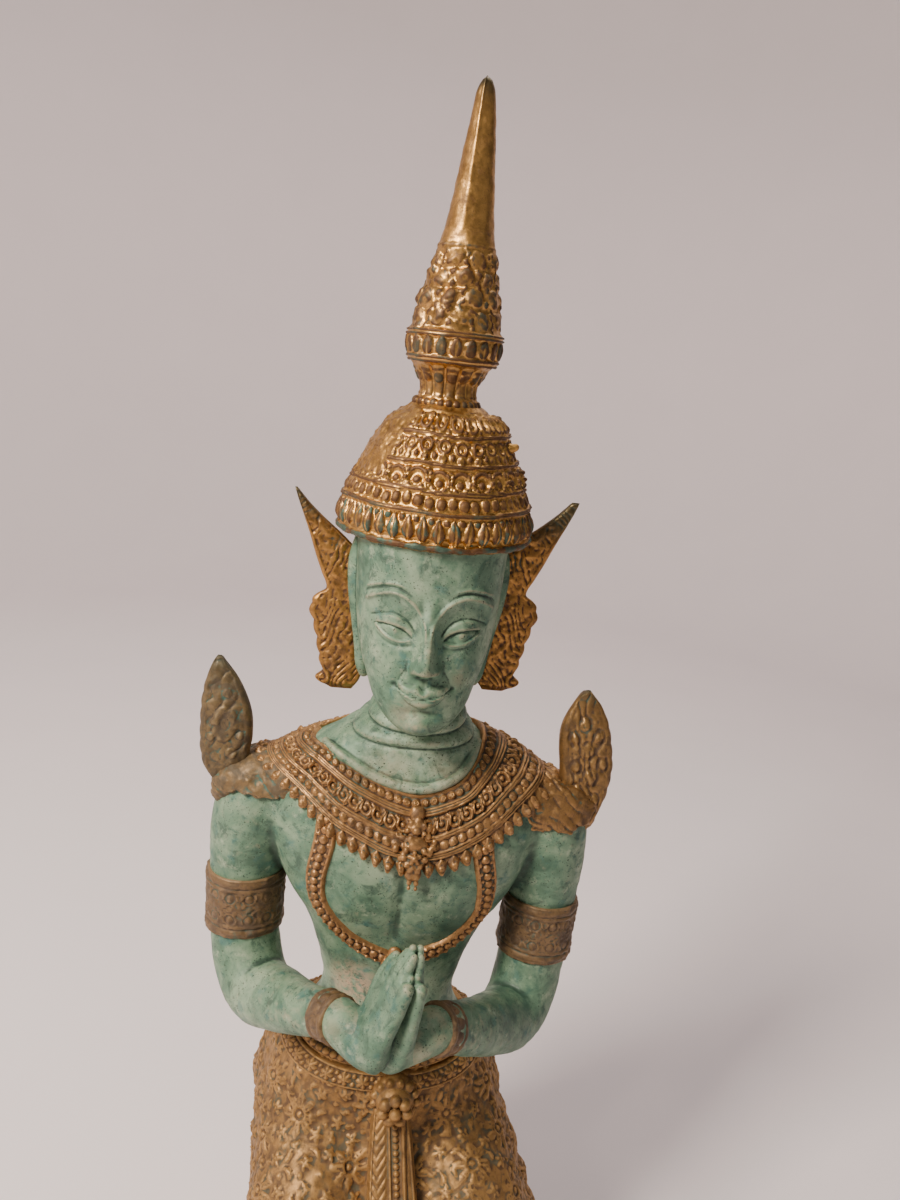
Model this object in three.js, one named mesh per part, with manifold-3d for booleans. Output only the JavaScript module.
// Kneeling theppanom (praying celestial figure) in bronze, with its low base cast in one.
// Millimetres, +Z up, the figure faces -Y, origin under the middle of the base at its underside.
import * as THREE from 'three';
import Module from 'manifold-3d';
import { mergeVertices } from 'three/addons/utils/BufferGeometryUtils.js';

const wasm = await Module();
wasm.setup();

// ---------------------------------------------------------------- driving dimensions
const TOTAL_HEIGHT = 300;          // underside of the base to the tip of the spire
const BASE_THICK = 12;             // low base
const BASE_HALF_X = 40.5;
const BASE_FRONT_Y = -66;
const BASE_BACK_Y = 35;
const BASE_MID_X = 6.5;

const BRIM_Z = 210.8;              // underside of the crown's brim
const DOME_TOP_Z = 234.8;          // rim where the crown's dome turns in to the spire
const DOME_RADIUS = 21.8;
const BULB_RADIUS = 9.9;           // ornamented bulb of the spire
const BULB_Z = 250;
const SPIRE_NECK_RADIUS = 5.7;
const SPIRE_LEAN = 1.4;            // the tip leans this far to +X
const RING_STEP = 0.7;             // how far the rings between the tiers stand out

const CHIN_Z = 171;
const FACE_HALF_WIDTH = 15.6;
const NECK_RADIUS = 9.4;
const NECK_SHIFT = 0.7;            // the neck stands this far to +X

const FLANGE_THICK = 2.6;          // leaf-shaped flange behind each ear
const FLANGE_Y = 3;
const LEAF_THICK = 5;              // flame leaf on each shoulder

const COLLAR_RISE = 1.5;
const COLLAR_LOBES = 32;           // drop leaves around the collar's edge
const STRAP_RISE = 1.1;
const BAND_RISE = 1.15;
const UPPER_ARM_RADIUS = 8.1;
const CUFF_RADIUS = 4.9;
const PANEL_THICK = 2.4;
const PANEL_BED = 12.6;            // rounded cloth under the centre panel
const TRIANGLES = 9800;            // facets of the finished skin

// ---------------------------------------------------------------- helpers
const V = (x, y, z) => new THREE.Vector3(x, y, z);
const clamp = (v, a, b) => Math.min(b, Math.max(a, v));
const smooth = (a, b, v) => { const t = clamp((v - a) / (b - a), 0, 1); return t * t * (3 - 2 * t); };
const bump = (v, c, w) => Math.exp(-(((v - c) / w) ** 2));

// smooth interpolation in a short table of rows [key, a, b, ...]
function table(rows) {
  return (k) => {
    let i = 0;
    while (i < rows.length - 2 && k > rows[i + 1][0]) i += 1;
    const p0 = rows[Math.max(i - 1, 0)], p1 = rows[i], p2 = rows[i + 1], p3 = rows[Math.min(i + 2, rows.length - 1)];
    const t = clamp((k - p1[0]) / (p2[0] - p1[0]), 0, 1), h = p2[0] - p1[0];
    return p1.slice(1).map((_, c) => {
      const a = p1[c + 1], b = p2[c + 1];
      const m1 = p2[0] === p0[0] ? 0 : ((b - p0[c + 1]) / (p2[0] - p0[0])) * h;
      const m2 = p3[0] === p1[0] ? 0 : ((p3[c + 1] - a) / (p3[0] - p1[0])) * h;
      const t2 = t * t, t3 = t2 * t;
      return (2 * t3 - 3 * t2 + 1) * a + (t3 - 2 * t2 + t) * m1 + (-2 * t3 + 3 * t2) * b + (t3 - t2) * m2;
    });
  };
}

function solid(pos, idx) {
  let vol = 0;
  for (let i = 0; i < idx.length; i += 3) {
    const [a, b, c] = [idx[i] * 3, idx[i + 1] * 3, idx[i + 2] * 3];
    vol += pos[a] * (pos[b + 1] * pos[c + 2] - pos[b + 2] * pos[c + 1])
      - pos[a + 1] * (pos[b] * pos[c + 2] - pos[b + 2] * pos[c])
      + pos[a + 2] * (pos[b] * pos[c + 1] - pos[b + 1] * pos[c]);
  }
  if (vol < 0) for (let i = 0; i < idx.length; i += 3) [idx[i + 1], idx[i + 2]] = [idx[i + 2], idx[i + 1]];
  return new wasm.Manifold(new wasm.Mesh({ numProp: 3, vertProperties: new Float32Array(pos), triVerts: new Uint32Array(idx) }));
}

// skin over closed rings of equal length, ended by a fan, or closed on itself
function loft(rings, looped = false) {
  const n = rings[0].length, m = rings.length, pos = [], idx = [];
  rings.forEach((r) => r.forEach((p) => pos.push(p.x, p.y, p.z)));
  for (let i = 0; i < (looped ? m : m - 1); i += 1) {
    for (let j = 0; j < n; j += 1) {
      const a = i * n + j, b = i * n + ((j + 1) % n), c = ((i + 1) % m) * n + j, d = ((i + 1) % m) * n + ((j + 1) % n);
      idx.push(a, b, d, a, d, c);
    }
  }
  if (!looped) {
    [0, m - 1].forEach((e) => {
      const mid = rings[e].reduce((s, p) => s.add(p), V(0, 0, 0)).divideScalar(n);
      const k = pos.length / 3;
      pos.push(mid.x, mid.y, mid.z);
      for (let j = 0; j < n; j += 1) {
        const a = e * n + j, b = e * n + ((j + 1) % n);
        if (e === 0) idx.push(b, a, k); else idx.push(a, b, k);
      }
    });
  }
  return solid(pos, idx);
}

// horizontal oval: half width rx, reaching front and back in y, exponent e
function oval(n, cx, z, rx, front, back, e = 2, turn = 0) {
  const ring = [];
  for (let j = 0; j < n; j += 1) {
    const a = ((j + turn) / n) * 2 * Math.PI, c = Math.cos(a), s = Math.sin(a);
    const mid = (front + back) / 2, half = (back - front) / 2;
    ring.push(V(cx + rx * Math.sign(c) * Math.abs(c) ** (2 / e), mid + half * Math.sign(s) * Math.abs(s) ** (2 / e), z));
  }
  return ring;
}

// limb along a path of rows [x, y, z, radius, flatten]; rings stand square to the path
function limb(rows, seg, steps, up = V(0, 0, 1)) {
  const f = table(rows.map((r, i) => [i, ...r, r.length < 5 ? 1 : null].filter((q) => q !== null)));
  const rings = [], last = rows.length - 1;
  for (let i = 0; i <= steps; i += 1) {
    const k = (i / steps) * last;
    const [x, y, z, r, flat] = f(k);
    const a = f(Math.max(0, k - 0.05)), b = f(Math.min(last, k + 0.05));
    const tan = V(b[0] - a[0], b[1] - a[1], b[2] - a[2]).normalize();
    const side = V(0, 0, 0).crossVectors(tan, up).normalize();
    const top = V(0, 0, 0).crossVectors(side, tan).normalize();
    const ring = [];
    for (let j = 0; j < seg; j += 1) {
      const w = (j / seg) * 2 * Math.PI;
      ring.push(V(x, y, z).addScaledVector(side, Math.cos(w) * r).addScaledVector(top, Math.sin(w) * r * flat));
    }
    rings.push(ring);
  }
  return loft(rings);
}

// surface of revolution about the statue's axis, leaning by lean(z), with ripple(angle, z)
function turned(profile, seg, lean = () => 0, ripple = () => 1, cy = 0) {
  return loft(profile.map(([z, r]) => {
    const ring = [];
    for (let j = 0; j < seg; j += 1) {
      const a = (j / seg) * 2 * Math.PI, rr = r * ripple(a, z);
      ring.push(V(lean(z) + rr * Math.cos(a), cy + rr * Math.sin(a), z));
    }
    return ring;
  }));
}

// ribbon laid on a surface: stations {p, n, t, w, rise, sink}, t across the ribbon, n out of the surface
function ribbon(stations, looped = false) {
  return loft(stations.map(({ p, n, t, w, rise, sink }) => [
    p.clone().addScaledVector(t, -w).addScaledVector(n, -sink),
    p.clone().addScaledVector(t, w).addScaledVector(n, -sink),
    p.clone().addScaledVector(t, w).addScaledVector(n, rise * 0.75),
    p.clone().addScaledVector(n, rise),
    p.clone().addScaledVector(t, -w).addScaledVector(n, rise * 0.75),
  ]), looped);
}

const parts = [];
const both = (make) => { parts.push(make(-1)); parts.push(make(1)); };

// ---------------------------------------------------------------- torso and neck
// rows: z, half width, front y, back y
const torsoRows = [
  [46, 19, -6, 24], [52, 25.5, -12, 27], [60, 29, -16, 28.5], [69, 29.8, -18, 27.5], [78, 26.5, -18.5, 23], [86, 20.8, -16.8, 16.5],
  [93, 17.2, -15.2, 13], [99, 15.9, -14.2, 11.4], [106, 17, -14.3, 11.4], [114, 19.4, -15.6, 12.6], [121, 22.4, -17, 13.6],
  [127, 26.2, -18.2, 14.4], [134, 29, -19, 15], [142, 31.4, -18.8, 15.2], [149, 33.4, -15.6, 14.6], [154.5, 33, -12.8, 13.6], [159, 27, -11.4, 12.6],
  [162, 19.4, -11, 11.8], [166, 13.9, -10.9, 11], [170, 10.9, -10.6, 10.2], [174, NECK_RADIUS + 0.2, -10.3, 9.4], [182, NECK_RADIUS, -9.3, 9.2],
];
const torsoAt = table(torsoRows);
const torsoLevels = [46, 53, 61, 70, 79, 87, 93, 99, 107, 116, 122, 127, 134, 142, 149, 154, 157.5, 161, 163, 165, 167, 169, 171, 173.5, 180];
parts.push(loft(torsoLevels.map((z) => {
  const [w, f, b] = torsoAt(z);
  const neck = smooth(164, 174, z);
  const crease = 1 - 0.035 * neck * (0.5 - 0.5 * Math.cos(((z - 164) / 3.4) * 2 * Math.PI));
  return oval(22, NECK_SHIFT * smooth(163, 172, z), z, w * crease, f * crease, b * crease, 2.25 - 0.25 * neck);
})));

// a point on the torso at height z and bearing a (0 = front, + towards +X), with its outward normal
function onTorso(z, a) {
  const at = (zz, aa) => {
    const [w, f, b] = torsoAt(zz);
    const s = Math.sin(aa), c = -Math.cos(aa), e = 2 / 2.25;
    return V(w * Math.sign(s) * Math.abs(s) ** e, (f + b) / 2 + ((b - f) / 2) * Math.sign(c) * Math.abs(c) ** e, zz);
  };
  const p = at(z, a);
  const n = V(0, 0, 0).crossVectors(at(z, a + 0.02).sub(p), at(z + 0.4, a).sub(p)).normalize();
  return { p, n };
}

// ---------------------------------------------------------------- head and face
const headAt = table([
  [CHIN_Z, 1.2, -19, -15.5], [172.8, 5.8, -21.2, -9.5], [174.2, 7.7, -21.5, -6], [176, 9.5, -21.4, -1.5], [178.5, 11.2, -21.1, 4.5], [182, 12.8, -20.8, 11],
  [186, 14, -20.4, 16], [190, 14.8, -20.1, 18.8], [197, FACE_HALF_WIDTH, -19.7, 20.4], [204, 15.9, -19.4, 20.8], [212, 16.4, -19.2, 20.4],
]);
const NOSE_TIP_Z = 185.6, MOUTH_Z = 180.2, EYE_Z = 193.6, EYE_X = 6.5, BROW_Z = 197.2;
// brow line: from the nose bridge up over the eye and down to the temple
const browLine = (x) => BROW_Z - 1.6 + 3.9 * Math.sin(clamp((Math.abs(x) - 0.6) / 12.4, 0, 1) * Math.PI * 0.72) ** 0.9;
// forward relief of the face at (x, z)
function face(x, z) {
  const ax = Math.abs(x);
  const noseH = 1.1 + 2.5 * smooth(199, NOSE_TIP_Z, z);
  const noseW = 1.3 + 0.9 * smooth(195, NOSE_TIP_Z, z);
  let f = noseH * bump(ax, 0, noseW) * smooth(184.1, 185.9, z) * smooth(201, 197, z);
  f += 1.0 * bump(ax, 2.5, 1.2) * bump(z, 186, 1.4);
  f += 0.75 * bump(z, browLine(x), 0.95) * smooth(14.2, 11, ax);
  f -= 1.5 * bump(ax, EYE_X - 0.6, 4.4) * bump(z, EYE_Z + 0.2, 3);
  f += 1.15 * bump(ax, EYE_X, 2.7) * bump(z, EYE_Z, 1.5);
  f += 1.35 * bump(ax, 0, 3.7) * bump(z, MOUTH_Z + 1.2, 1.0);
  f += 1.45 * bump(ax, 0, 2.9) * bump(z, MOUTH_Z - 1.3, 1.1);
  f -= 0.8 * bump(ax, 0, 2.6) * bump(z, 177, 1.1);
  f += 1.2 * bump(ax, 0, 3.4) * bump(z, 174.2, 2.2);
  return f;
}
const headLevels = [171.1, 172.6, 174.6, 177, 178.8, 180.2, 181.5, 183.6, 185.2, 186.6, 189.5, 192, 193.8, 195.6, 197.4, 199.4, 201.4, 204.5, 211.5];
parts.push(loft(headLevels.map((z) => {
  const [w, f, b] = headAt(z), ring = [], mid = clamp((f + b) / 2, -18, -2), n = 30;
  for (let j = 0; j < n; j += 1) {
    const u = j / n;                                      // 0..1 round the head, front at 0.5, denser there
    const a = 2 * Math.PI * (u + 0.085 * Math.sin(2 * Math.PI * u));
    const c = Math.cos(a), s = Math.sin(a), e = 2 / 2.3;
    const x = w * Math.sign(s) * Math.abs(s) ** e;
    const y = mid + (c > 0 ? (b - mid) : (mid - f)) * Math.sign(c) * Math.abs(c) ** e;
    ring.push(V(x, y - (c < -0.05 ? face(x, z) * smooth(-0.05, -0.45, c) : 0), z));
  }
  return ring;
})));

// ears: long lobed strips before the flanges
both((s) => limb([[s * 15.7, 0.4, 208, 1.6, 1.5], [s * 16.2, 0.2, 203, 2.1, 1.7], [s * 16.0, 0, 196, 2.0, 1.6], [s * 15.2, -0.4, 188, 1.8, 1.5], [s * 13.6, -0.8, 180.5, 1.8, 1.3], [s * 12.5, -0.8, 176.8, 1.2, 1.2]], 8, 5, V(0, 1, 0)));

// flanges: foliage plates, rows: z, inner x, outer x, with a scalloped lower edge
both((s) => {
  const dz = s > 0 ? 2.4 : 0;                              // the one on +X sits a little higher
  const edge = table([[172, 15, 20], [174.2, 13.5, 23.6], [176.2, 13, 22], [179, 13, 22.8], [183, 12.6, 23.6], [187, 12.4, 24.6], [190.4, 12.2, 25.6], [193.6, 12.2, 24.6], [195.2, 12.3, 22.6], [199, 13, 24], [203, 15, 25.6], [207, 19, 27], [211, 24, 28.6], [214, 27.4, 29.8], [217, 30.2, 30.9]]);
  const levels = [172, 173.8, 176.2, 178, 180, 182, 184, 186, 188, 190.4, 193.2, 195.2, 200, 207, 213, 217];
  return loft(levels.map((z) => {
    let [a, b] = edge(z);
    if (s > 0) b += 1.2 * smooth(190, 217, z);
    b += 0.5 * Math.abs(Math.sin(((z - 176) / 3.9) * Math.PI)) * smooth(176, 179, z) * smooth(193, 189, z) - 0.2;
    const k = smooth(219, 204, z), t = (FLANGE_THICK / 2) * (0.55 + 0.45 * k), m = (a + b) / 2, y = FLANGE_Y + 0.035 * (z - 190);
    return [V(s * a, y - t, z + dz), V(s * m, y - t - 0.5 * k, z + dz), V(s * b, y - t * 0.45, z + dz),
      V(s * b, y + t * 0.45, z + dz), V(s * m, y + t + 0.3 * k, z + dz), V(s * a, y + t, z + dz)];
  }));
});

// ---------------------------------------------------------------- crown
const lean = (z) => SPIRE_LEAN * smooth(236, TOTAL_HEIGHT, z) ** 0.8;
const dome = table([[BRIM_Z, 20], [213.8, DOME_RADIUS], [217.3, 20.7], [220.6, 19.4], [224.5, 17.9], [228.2, 16.3], [231.3, 14.6], [233.4, 13.2], [DOME_TOP_Z, 12.2]]);
const rings = [217.8, 221.8, 226.7, 232.3];
const domeProfile = [[BRIM_Z - 0.6, 15.5], [BRIM_Z, 20.3], [BRIM_Z + 1, 21.6], [BRIM_Z + 2.6, dome(213.4)[0]]];
rings.forEach((z) => domeProfile.push([z - 0.8, dome(z - 0.8)[0]], [z, dome(z)[0] + RING_STEP], [z + 0.8, dome(z + 0.8)[0] - 0.1]));
domeProfile.push([DOME_TOP_Z, dome(DOME_TOP_Z)[0]], [DOME_TOP_Z + 1.3, 10.4], [DOME_TOP_Z + 2.7, 7.6], [DOME_TOP_Z + 3.6, 6.2]);
// the rim is a little fuller on the +X side
parts.push(turned(domeProfile, 26, () => 0, (a, z) => 1 + 0.07 * smooth(231, 235, z) * Math.max(0, Math.cos(a)) ** 2, 0.6));

const spireProfile = [[236.5, 7.2], [238.6, 6.5], [240.5, SPIRE_NECK_RADIUS], [243.2, SPIRE_NECK_RADIUS + 0.5], [245.6, 7.9], [246.8, 9.3],
  [BULB_Z, BULB_RADIUS], [252.4, 9.9], [254, 9.3], [258.5, 8.7], [263, 7.5], [267.3, 6.4], [271.4, 5.2], [280, 4], [290, 2.85], [297.2, 1.85], [299.4, 1.1], [TOTAL_HEIGHT, 0.35]];
parts.push(turned(spireProfile, 16, lean, (a, z) => 1 - 0.07 * bump(z, 240.8, 2.6) * (0.5 + 0.5 * Math.cos(8 * a)) + 0.035 * smooth(252, 255, z) * smooth(271, 266, z) * Math.cos(8 * a) * Math.sign(Math.sin(z * 1.25)), 0.6));
// lump on the dome's right shoulder
parts.push(limb([[12.2, -4.8, 230, 1], [13.8, -5.3, 230.7, 1.4], [15, -5.7, 231.2, 0.8]], 7, 3));

// ---------------------------------------------------------------- collar
// rows: bearing (0 front, 90 towards +X), inner x y z, outer x y z
const collarRows = [
  [0, 1.5, -12.8, 154.7, 2.4, -20.6, 139.4], [24, 7, -12.3, 155.8, 10.5, -19.8, 140.6], [48, 11.6, -10.8, 158.2, 18.4, -17, 143.6], [72, 14.8, -7, 162.4, 27, -11.3, 149.4],
  [94, 15.8, -0.6, 165.3, 35, -1, 154.2], [115, 15.4, 5.2, 165, 31, 9, 153.4], [145, 10.4, 9.6, 164.6, 18, 14.8, 150.4], [180, -0.5, 11.6, 164.4, 0, 16.4, 148.2],
  [215, -11.8, 9.6, 163.4, -18, 14.8, 150.4], [245, -20, 4.8, 161.6, -31, 9, 153.2], [266, -22.4, -1.2, 161.2, -34.5, -1.2, 154.4], [288, -18.3, -6.9, 161.2, -25.2, -11.6, 150.2],
  [312, -12.4, -10.6, 159, -15.8, -17.5, 144.4], [337, -5, -12.2, 156, -6.4, -19.8, 140.9],
];
const collarAt = table([...collarRows.slice(-2).map(([d, ...v]) => [d - 360, ...v]), ...collarRows, ...collarRows.slice(0, 2).map(([d, ...v]) => [d + 360, ...v])]);
{
  const n = COLLAR_LOBES * 2, stations = [];
  for (let i = 0; i < n; i += 1) {
    const deg = (i / n) * 360, q = Math.min(deg, 360 - deg);
    const c = collarAt(deg), inner = V(c[0], c[1], c[2]), outer = V(c[3], c[4], c[5]);
    const out = outer.clone().sub(inner), len = out.length();
    out.normalize();
    const a = (deg / 180) * Math.PI, around = V(Math.cos(a), Math.sin(a), 0);
    const nrm = V(0, 0, 0).crossVectors(around, out).normalize();
    if (nrm.z < 0) nrm.negate();
    const reach = len - (i % 2 ? 2.3 : 0) + (i % 2 === 0 ? 1.6 * bump(q, 0, 14) : 0);
    const at = (d, h) => inner.clone().addScaledVector(out, d).addScaledVector(nrm, h);
    const rim = len - 3.6;
    stations.push([at(0.2, -4), at(0, 0.2), at(len * 0.5, 1.1), at(rim, 0.45), at(reach, -0.35), at(reach - 1.2, -4)]);
  }
  parts.push(loft(stations, true));
}
// pendant cluster in the middle of the collar's front
parts.push(limb([[2, -16.6, 151.2, 1.8, 0.6], [2, -18.8, 148.4, 2.4, 0.7], [2, -20.6, 143.6, 3.2, 0.7], [2.1, -21.6, 139.4, 2, 0.7], [2.1, -20.4, 136.3, 0.9, 0.7]], 8, 4, V(0, 1, 0)));

// shoulder leaves: rows z, inner x, outer x, on a band that leaves the collar over the shoulder
both((s) => {
  const left = s < 0;
  const dz = left ? 0 : -1.2;
  const edge = left
    ? table([[143, 33, 39.4], [147, 33.6, 41.6], [149.3, 34.6, 44.4], [152.3, 35.8, 46.5], [156, 36.6, 47.6], [160, 36.2, 47.9], [165, 36.5, 48], [169, 37.7, 47.8], [173.9, 40.2, 47], [177.1, 42.8, 45.9], [178.6, 44, 45]])
    : table([[143, 34, 42.4], [147, 34.6, 44.8], [152, 35.2, 46.4], [156, 35.3, 47.1], [160.4, 34.8, 47.3], [164, 34.2, 46.8], [168, 33.9, 45.9], [171.2, 34.4, 44.9], [175, 36, 43], [177.4, 37.4, 40.9], [178.6, 38.8, 39.8]]);
  return loft([143, 147, 151, 156, 161, 166, 170, 173.5, 176.4, 178.5].map((z) => {
    const [a, b] = edge(z), m = (a + b) / 2, t = (LEAF_THICK / 2) * (0.3 + 0.7 * smooth(180, 160, z)), lob = 0.35 * Math.sin(z * 1.1);
    const y = -2 + 0.05 * (z - 150);
    return [V(s * a, y - 0.5, z + dz), V(s * (m + lob * 0.4), y - t, z + dz), V(s * (b + lob * 0.5), y - 0.5, z + dz),
      V(s * (b + lob * 0.5), y + 0.5, z + dz), V(s * m, y + t, z + dz), V(s * a, y + 0.5, z + dz)];
  }));
});
both((s) => limb([[s * 31, -3.5, 152.5, 2.6], [s * 36, -3.6, 151.6, 3.6], [s * 40.5, -3, 149.5, 3.9], [s * 42, -2.2, 146, 2.9]], 8, 3, V(0, 1, 0)));
// thin cap over each shoulder; it reaches further down the arm on the +X side
both((s) => {
  const edge = s < 0 ? 148.4 : 145.3, size = 10.6, mid = 145.8;
  return loft([edge, edge + (152 - edge) / 2, 152, 154.6, 156].map((z) => {
    const r = Math.sqrt(size ** 2 - (z - mid) ** 2);
    return oval(16, s * 33.4, z, r, 0.5 - r, 0.5 + r, 2);
  }));
});

// ---------------------------------------------------------------- chest straps, front and back
function bearingAt(z, x) {                                  // bearing on the torso where it is x off the middle
  const [w] = torsoAt(z);
  return Math.sign(x) * Math.asin(clamp(Math.abs(x) / w, 0, 0.98) ** (2.25 / 2));
}
both((s) => {
  const row = table(s < 0
    ? [[-0.8, 17.2, 149.5, 2.6], [0, 17.6, 143.5, 2.6], [1, 18.9, 134, 2.5], [2, 17, 126.4, 2.3], [3, 9.4, 118.2, 2.1], [4, -0.8, 113.9, 1.9]]
    : [[-0.8, 17, 149.5, 2.6], [0, 17.4, 143.5, 2.6], [1, 19.2, 134, 2.5], [2, 18.2, 125.6, 2.3], [3, 11.2, 117.6, 2.1], [4, -0.8, 113.9, 1.9]]);
  const st = [];
  for (let i = 0; i <= 8; i += 1) {
    const k = -0.8 + (i / 8) * 4.8, [x, z, w] = row(k), g = row(Math.max(-0.8, k - 0.1)), h = row(Math.min(4, k + 0.1));
    const at = (xx, zz) => onTorso(zz, bearingAt(zz, s * xx));
    const { p, n } = at(x, z);
    const along = at(h[0], h[1]).p.sub(at(g[0], g[1]).p).normalize();
    st.push({ p, n, t: V(0, 0, 0).crossVectors(n, along).normalize(), w, rise: STRAP_RISE, sink: 2.5 });
  }
  return ribbon(st);
});
both((s) => {
  const st = [];
  for (let i = 0; i <= 4; i += 1) {
    const k = i / 4, x = 17.5 - 18.5 * k ** 1.4, z = 146 - 30 * k;
    const at = (xx, zz) => onTorso(zz, Math.PI - bearingAt(zz, s * xx));
    const { p, n } = at(x, z);
    const k2 = k + 0.02, along = at(17.5 - 18.5 * k2 ** 1.4, 146 - 30 * k2).p.sub(p).normalize();
    st.push({ p, n, t: V(0, 0, 0).crossVectors(n, along).normalize(), w: 2.3, rise: STRAP_RISE, sink: 2.5 });
  }
  return ribbon(st);
});
// pendant drop where the straps meet
parts.push(limb([[0.2, -16.2, 116.4, 1.4, 0.6], [0.2, -17, 113.6, 3.1, 0.5], [0.2, -16.4, 110.6, 2.4, 0.5], [0.2, -15.8, 108, 0.8, 0.6]], 8, 4, V(0, 1, 0)));

// ---------------------------------------------------------------- arms, bands, hands
const armRows = (s) => (s < 0
  ? [[-30.5, 1, 149.6, 5.4], [-33.6, 0.6, 146, 9.4], [-35.4, 0, 137, 9.5], [-36.1, -0.6, 126, UPPER_ARM_RADIUS + 0.3], [-35.7, -2, 114, UPPER_ARM_RADIUS], [-34, -4.8, 104.6, 8], [-30.4, -10, 100.2, 7.7], [-25, -17, 103, 6.9], [-18.6, -25.6, 107.8, 5.5], [-12.4, -33, 112.6, 4.5], [-6.6, -38.6, 113, 4.6]]
  : [[30.5, 1, 149, 5.4], [33.4, 0.4, 145.4, 9.4], [34.8, 0, 136, 9.5], [35.2, -0.8, 124, UPPER_ARM_RADIUS + 0.2], [34.6, -2.4, 110.5, UPPER_ARM_RADIUS], [33, -5.4, 100.6, 8], [29.6, -10.6, 97, 7.7], [24, -18.4, 100.6, 6.9], [17, -28, 107.2, 5.8], [9.8, -35.6, 113, 4.8], [4.2, -38.8, 113, 4.7]]);
both((s) => limb(armRows(s), 11, 13, V(0, 1, 0.2)));
const bandRings = (s) => {
  const [top, low] = s < 0 ? [[-36.1, -0.5, 126.9], [-35.8, -1.6, 112.6]] : [[35.2, -0.7, 124.4], [34.7, -2.2, 110.4]];
  const at = (k, r) => [top[0] + (low[0] - top[0]) * k, top[1] + (low[1] - top[1]) * k, top[2] + (low[2] - top[2]) * k, r];
  const r = UPPER_ARM_RADIUS + BAND_RISE;
  return [at(0, r - 0.9), at(0.06, r + 0.2), at(0.94, r + 0.2), at(1, r - 0.9)];
};
both((s) => limb(bandRings(s), 14, 3, V(0, 1, 0.2)));
both((s) => {
  const a = s < 0 ? V(-14.3, -30.9, 111.3) : V(11.9, -33.3, 111.3), b = s < 0 ? V(-10.9, -34.8, 113) : V(8.7, -36.7, 113.7);
  const wide = s < 0 ? CUFF_RADIUS : CUFF_RADIUS + 0.25;
  const at = (k, r) => [a.x + (b.x - a.x) * k, a.y + (b.y - a.y) * k, a.z + (b.z - a.z) * k, r];
  return limb([at(0, wide - 0.7), at(0.12, wide + 0.3), at(0.88, wide + 0.3), at(1, wide - 0.7)], 12, 3, V(0, 1, 0.2));
});
// hands: two palms pressed together, leaning a little to +X and turned so that the figure's right
// hand shows its back; u runs up the hand, w from thumb to little finger, n across the contact plane
const handUp = V(0.235, 0.05, 0.97).normalize(), handSide = V(0.33, -0.94, 0);
const handWide = handSide.addScaledVector(handUp, -handSide.dot(handUp)).normalize();
const handOut = V(0, 0, 0).crossVectors(handUp, handWide).normalize();
const onHand = (u, w, n) => V(-2.4, -40.6, 110.6).addScaledVector(handUp, u).addScaledVector(handWide, w).addScaledVector(handOut, n);
const FINGER_LENGTHS = [23, 24.9, 23.8, 20.2];               // from the heel of the hand
const FINGER_PITCH = 2.7;
both((s) => {
  const palm = loft([[-2, 3.4, 1.5], [1.2, 5, 2.6], [6, 5.7, 2.75], [11.5, 5.6, 2.25], [17, 5, 1.5]].map(([u, half, thick]) => {
    const ring = [];
    for (let j = 0; j < 10; j += 1) {
      const a = (j / 10) * 2 * Math.PI;
      ring.push(onHand(u, half * Math.cos(a), s * thick * (0.94 + Math.sin(a))));
    }
    return ring;
  }));
  const digit = (rows) => limb(rows.map(([u, w, n, r]) => { const q = onHand(u, w, s * n); return [q.x, q.y, q.z, r]; }), 6, 3, V(0, 1, 0));
  return FINGER_LENGTHS.reduce((all, len, i) => {
    const w = (i - 1.5) * FINGER_PITCH, mid = w * 0.55, r = 1.62 - 0.08 * Math.abs(i - 1.2);
    return all.add(digit([[8.5, w, r * 1.4, r * 0.95], [14, w * 0.97, r * 1.1, r], [len - 4.5, mid + w * 0.2, r * 0.85, r * 0.85], [len, mid, r * 0.4, r * 0.35]]));
  }, palm.add(digit([[5, -4.8, 2, 2.1], [10, -6.2, 1.7, 1.85], [15, -6.2, 1.3, 1.6], [19.4, -5.3, 1, 0.8]])));
});

// ---------------------------------------------------------------- belt, jewel
function beltRing(frontZ, sideZ, backZ, w, rise) {
  const st = [], n = 22;
  for (let i = 0; i < n; i += 1) {
    const a = (i / n) * 2 * Math.PI, c = Math.cos(a);
    const z = c > 0 ? sideZ + (frontZ - sideZ) * c ** 1.6 : sideZ + (backZ - sideZ) * (-c) ** 1.3;
    const { p, n: nr } = onTorso(z, a);
    st.push({ p, n: nr, t: V(0, 0, 1).addScaledVector(nr, -nr.z).normalize(), w, rise, sink: 2.6 });
  }
  return ribbon(st, true);
}
parts.push(beltRing(82.4, 83.2, 78.2, 2.5, 1.6));
parts.push(beltRing(86.8, 87, 81.2, 1.6, 1.2));
parts.push(limb([[3, -17, 81, 3.6], [3.3, -19.8, 80, 5.3], [3.5, -22.8, 79.7, 4.6], [3.6, -25.2, 79.5, 1.8]], 9, 3));

// ---------------------------------------------------------------- kneeling legs under the skirt
const legShift = (y) => -0.17 * y;                           // the knees point a little to +X
const leg = (s) => {
  const c = s < 0 ? 13.6 : 15, spread = s < 0 ? 0.1 : 0.2;
  const x = (y) => s * (c - spread * Math.min(y, 0)) + legShift(y) * (s < 0 ? 0.62 : 1);
  return [[x(8), 10, 60, 15], [x(0), -1, 60.2, 16], [x(-12), -12, 54.6, 15.6], [x(-26), -26, 46, 14.6], [x(-40), -40, 36.6, 13], [x(-50), -50, 29, 11.4], [x(-56), -57, 23.5, 8.4], [x(-58), -60.5, 20.4, 3.6]];
};
both((s) => limb(leg(s), 14, 8));
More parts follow.
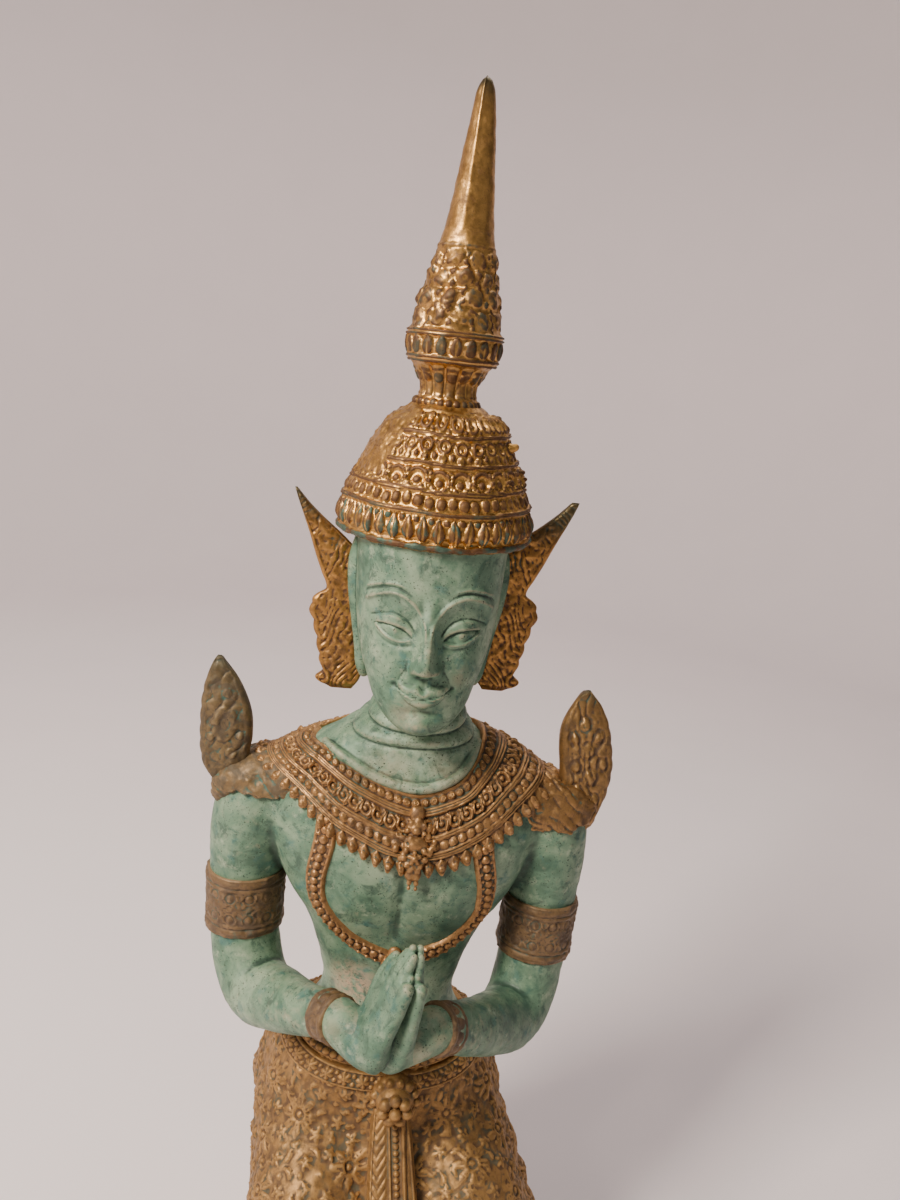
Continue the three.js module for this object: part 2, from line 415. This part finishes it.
// shanks below the thighs, back to the ankles
const kneeX = (s) => (s < 0 ? -17 : 36.5);
both((s) => limb([[kneeX(s), -58, 20.6, 4], [kneeX(s) * 0.99, -54, 21, 9], [kneeX(s) * 0.9 + 0.6, -38, 22.4, 10.8], [kneeX(s) * 0.76 - s * 0.5, -18, 24, 10.6], [s * 15.5 + 0.8, 0, 26.4, 8.4], [s * 13, 12, 30, 6.2], [s * 12.4, 19, 33, 5.4]], 10, 6));
// cloth bridging the thighs and filling under them
parts.push(loft([[12, 17], [0, 22], [-14, 23], [-28, 25], [-42, 26], [-54, 26]].map(([y, w], i) => {
  const ring = [], top = [68, 68, 63, 53.5, 42, 29][i], cx = 0.8 + legShift(y) * 0.8;
  for (let j = 0; j < 12; j += 1) {
    const a = (j / 12) * 2 * Math.PI, c = Math.cos(a), s2 = Math.sin(a);
    const mid = (top + 11) / 2, half = (top - 11) / 2;
    ring.push(V(cx + w * Math.sign(c) * Math.abs(c) ** 0.62, y, mid + half * Math.sign(s2) * Math.abs(s2) ** 0.62));
  }
  return ring;
})));
// hanging folds of the skirt side by side along the outer side of each thigh: start y, top z
const FOLDS = [[6, 74], [-6, 66], [-18, 56], [-30, 45], [-41, 34]];
const foldRadius = table([[10, 7.8], [14, 8], [23, 8.2], [34, 7.9], [45, 7.4], [56, 6.6], [66, 5.4], [74, 4.2]]);
FOLDS.forEach(([y0, top]) => both((s) => {
  const rows = [];
  for (let k = 0; k <= 4; k += 1) {
    const z = top + (10 - top) * (k / 4), [r] = foldRadius(z);
    const out = s < 0 ? -30 - 0.1 * (y0 + 5) + 0.1 * Math.max(0, z - 62) : Math.min(33.2 + (62.9 - z) * 0.36 - 0.13 * (y0 + 5), 45.6 - 0.02 * (y0 + 5));
    // each fold rises out of the round of the thigh
    rows.push([out - s * (r + (k === 0 ? 6 : 0)), y0 + 0.04 * (74 - z), z, k === 0 ? r - 0.8 : r]);
  }
  return limb(rows, 10, 6, V(0, 1, 0.05));
}));

// centre panel over the lap to the base between the knees
{
  const row = table([[0, 2.4, -15.5, 80, 3.6, 1, 0], [1, 3.5, -21.5, 70, 5, 0.9, 0.43], [2, 4.9, -30, 58.5, 5.9, 0.72, 0.69], [3, 7, -41, 46.5, 6.8, 0.62, 0.78], [4, 9, -52, 34, 7.6, 0.75, 0.66], [5, 10, -58.5, 22.5, 7.8, 0.97, 0.25], [6, 10.3, -60, 11, 6.6, 1, 0]]);
  const st = [], bed = [];
  for (let k = 0.6; k < 5; k += 0.7) {
    const [x, y, z, , ny, nz] = row(k), l = Math.hypot(ny, nz);
    bed.push([x, y + (PANEL_BED * ny) / l, z - (PANEL_BED * nz) / l, PANEL_BED - 0.6]);
  }
  parts.push(limb(bed, 12, 6, V(1, 0, 0)));
  for (let i = 0; i <= 8; i += 1) {
    const [x, y, z, w, ny, nz] = row(i * 0.75);
    st.push({ p: V(x, y, z), n: V(0, -ny, nz).normalize(), t: V(1, 0, 0), w, rise: PANEL_THICK, sink: 6 });
  }
  parts.push(ribbon(st));
}

// feet upright behind, on bent toes
both((s) => limb([[s * 12.5, 23.6, 17.2, 4.2], [s * 12.6, 25.6, 22.5, 5], [s * 12.5, 26.4, 30, 5.2], [s * 12.2, 25.6, 37, 5.4], [s * 11.9, 22, 42, 5], [s * 11.6, 17, 43.5, 3.8]], 10, 5, V(1, 0, 0)));
both((s) => limb([[s * 12.5, 22, 17, 3.8], [s * 12.6, 20.6, 23, 5], [s * 12.5, 19, 30, 5.8], [s * 12.2, 18.5, 37, 5.4]], 9, 3, V(1, 0, 0)));
const TOES = [2, 1.65, 1.55, 1.45, 1.3];                     // radii, the big toe on the inner side
both((s) => TOES.map((r, i) => {
  const x = s * (12.5 + (i - 2) * 2.3);
  return limb([[x, 23, 12 + r * 1.7, r * 1.2], [x, 19, 12.2 + r, r], [x, 15.2 + 0.5 * i, 11.9 + r, r * 0.7]], 6, 3, V(0, 0, 1));
}).reduce((all, toe) => all.add(toe)));
both((s) => limb([[s * 13.6, 7.2, 27.7, 8.1], [s * 13.4, 8.6, 28.4, 8.4], [s * 13.2, 10.4, 29.2, 8.2], [s * 13.1, 11.8, 29.8, 7.2]], 11, 3));

// ---------------------------------------------------------------- low base with a shallow waist
const baseRing = (z, inset) => oval(28, BASE_MID_X, z, BASE_HALF_X - inset, BASE_FRONT_Y + inset, BASE_BACK_Y - inset, 3.4);
parts.push(loft([baseRing(0, 0), baseRing(3.8, 0), baseRing(4.6, 1.9), baseRing(7.6, 1.9), baseRing(8.4, 0.6), baseRing(BASE_THICK, 0.9)]));

// ---------------------------------------------------------------- one casting
let body = parts[0];
for (let i = 1; i < parts.length; i += 1) body = body.add(parts[i]);
// the casting is solid: small pockets closed in between the joined forms are filled
body = body.decompose().sort((a, b) => b.volume() - a.volume())[0];

// thins the skin by collapsing the edges that matter least (quadric error), keeping it closed
function thin(pos, tris, target) {
  const n = pos.length / 3, P = [], Q = [], star = Array.from({ length: n }, () => new Set());
  for (let i = 0; i < n; i += 1) { P.push([pos[i * 3], pos[i * 3 + 1], pos[i * 3 + 2]]); Q.push(new Float64Array(10)); }
  const T = [], sub = (a, b) => [a[0] - b[0], a[1] - b[1], a[2] - b[2]];
  const cross = (a, b) => [a[1] * b[2] - a[2] * b[1], a[2] * b[0] - a[0] * b[2], a[0] * b[1] - a[1] * b[0]];
  const dot = (a, b) => a[0] * b[0] + a[1] * b[1] + a[2] * b[2];
  for (let i = 0; i < tris.length; i += 3) {
    const t = [tris[i], tris[i + 1], tris[i + 2]], c = cross(sub(P[t[1]], P[t[0]]), sub(P[t[2]], P[t[0]])), l = Math.hypot(...c) || 1e-12;
    const u = c.map((q) => q / l), d = -dot(u, P[t[0]]), w = l;
    const q = [u[0] * u[0], u[0] * u[1], u[0] * u[2], u[0] * d, u[1] * u[1], u[1] * u[2], u[1] * d, u[2] * u[2], u[2] * d, d * d];
    t.forEach((v) => { star[v].add(T.length); q.forEach((x, k) => { Q[v][k] += x * w; }); });
    T.push(t);
  }
  const err = (q, p) => q[0] * p[0] * p[0] + 2 * q[1] * p[0] * p[1] + 2 * q[2] * p[0] * p[2] + 2 * q[3] * p[0] + q[4] * p[1] * p[1]
    + 2 * q[5] * p[1] * p[2] + 2 * q[6] * p[1] + q[7] * p[2] * p[2] + 2 * q[8] * p[2] + q[9];
  const stamp = new Int32Array(n), heap = [];
  const push = (e) => { let i = heap.push(e) - 1; while (i > 0) { const k = (i - 1) >> 1; if (heap[k].c <= heap[i].c) break; [heap[k], heap[i]] = [heap[i], heap[k]]; i = k; } };
  const pop = () => {
    const top = heap[0], end = heap.pop();
    if (heap.length) { heap[0] = end; for (let i = 0; ;) { let k = 2 * i + 1; if (k >= heap.length) break; if (k + 1 < heap.length && heap[k + 1].c < heap[k].c) k += 1; if (heap[i].c <= heap[k].c) break; [heap[k], heap[i]] = [heap[i], heap[k]]; i = k; } }
    return top;
  };
  const near = (v) => { const s = new Set(); star[v].forEach((t) => T[t].forEach((w) => { if (w !== v) s.add(w); })); return s; };
  const offer = (a, b) => {
    const q = Q[a].map((x, k) => x + Q[b][k]), mid = P[a].map((x, k) => (x + P[b][k]) / 2), len = Math.hypot(...sub(P[a], P[b]));
    let best = null;
    [P[a], P[b], mid].forEach((p) => { const e = err(q, p); if (!best || e < best.e) best = { e, p }; });
    push({ c: Math.max(best.e, 0) + 1e-4 * len * len, a, b, p: best.p, s: stamp[a] + stamp[b] });
  };
  for (let v = 0; v < n; v += 1) near(v).forEach((w) => { if (w > v) offer(v, w); });
  let count = T.length;
  while (count > target && heap.length) {
    const { a, b, p, s } = pop();
    if (!star[a].size || !star[b].size || s !== stamp[a] + stamp[b]) continue;
    const na = near(a), nb = near(b), common = [...na].filter((v) => nb.has(v));
    if (!na.has(b) || common.length !== 2) continue;
    const holds = [a, b].every((v) => [...star[v]].every((t) => {
      const tri = T[t];
      if (tri.includes(a) && tri.includes(b)) return true;
      const was = cross(sub(P[tri[1]], P[tri[0]]), sub(P[tri[2]], P[tri[0]]));
      const q = tri.map((w) => (w === v ? p : P[w])), now = cross(sub(q[1], q[0]), sub(q[2], q[0]));
      const lw = Math.hypot(...was), ln = Math.hypot(...now);
      const e = Math.max(Math.hypot(...sub(q[1], q[0])), Math.hypot(...sub(q[2], q[1])), Math.hypot(...sub(q[0], q[2])));
      return ln > 0.02 * e * e && (lw < 1e-7 || dot(was, now) > 0.5 * lw * ln);
    }));
    if (!holds) continue;
    [...star[b]].forEach((t) => {
      if (T[t].includes(a)) { T[t].forEach((w) => star[w].delete(t)); T[t] = null; count -= 1; } else { T[t] = T[t].map((w) => (w === b ? a : w)); star[a].add(t); }
    });
    star[b].clear();
    P[a] = p; Q[a] = Q[a].map((x, k) => x + Q[b][k]); stamp[a] += 1; stamp[b] += 1;
    near(a).forEach((w) => { stamp[w] += 0; offer(a, w); });
  }
  return { points: P, faces: T.filter(Boolean) };
}

const mesh = body.getMesh();
const raw = new THREE.BufferGeometry();
const corners = new Float32Array((mesh.vertProperties.length / mesh.numProp) * 3);
for (let i = 0; i < corners.length / 3; i += 1) for (let c = 0; c < 3; c += 1) corners[i * 3 + c] = mesh.vertProperties[i * mesh.numProp + c];
raw.setAttribute('position', new THREE.BufferAttribute(corners, 3));
raw.setIndex(new THREE.BufferAttribute(new Uint32Array(mesh.triVerts), 1));
const welded = mergeVertices(raw, 1e-5);
const { points, faces } = thin(welded.attributes.position.array, welded.index.array, TRIANGLES);
const merged = new THREE.BufferGeometry();
merged.setAttribute('position', new THREE.BufferAttribute(new Float32Array(points.flat()), 3));
merged.setIndex(faces.flat());
merged.computeVertexNormals();

const bronze = new THREE.MeshStandardMaterial({ color: 0x6f9a83, roughness: 0.6, metalness: 0.45 });
const statue = new THREE.Mesh(merged, bronze);
statue.name = 'theppanom_statue';

const group = new THREE.Group();
group.add(statue);
export default group;
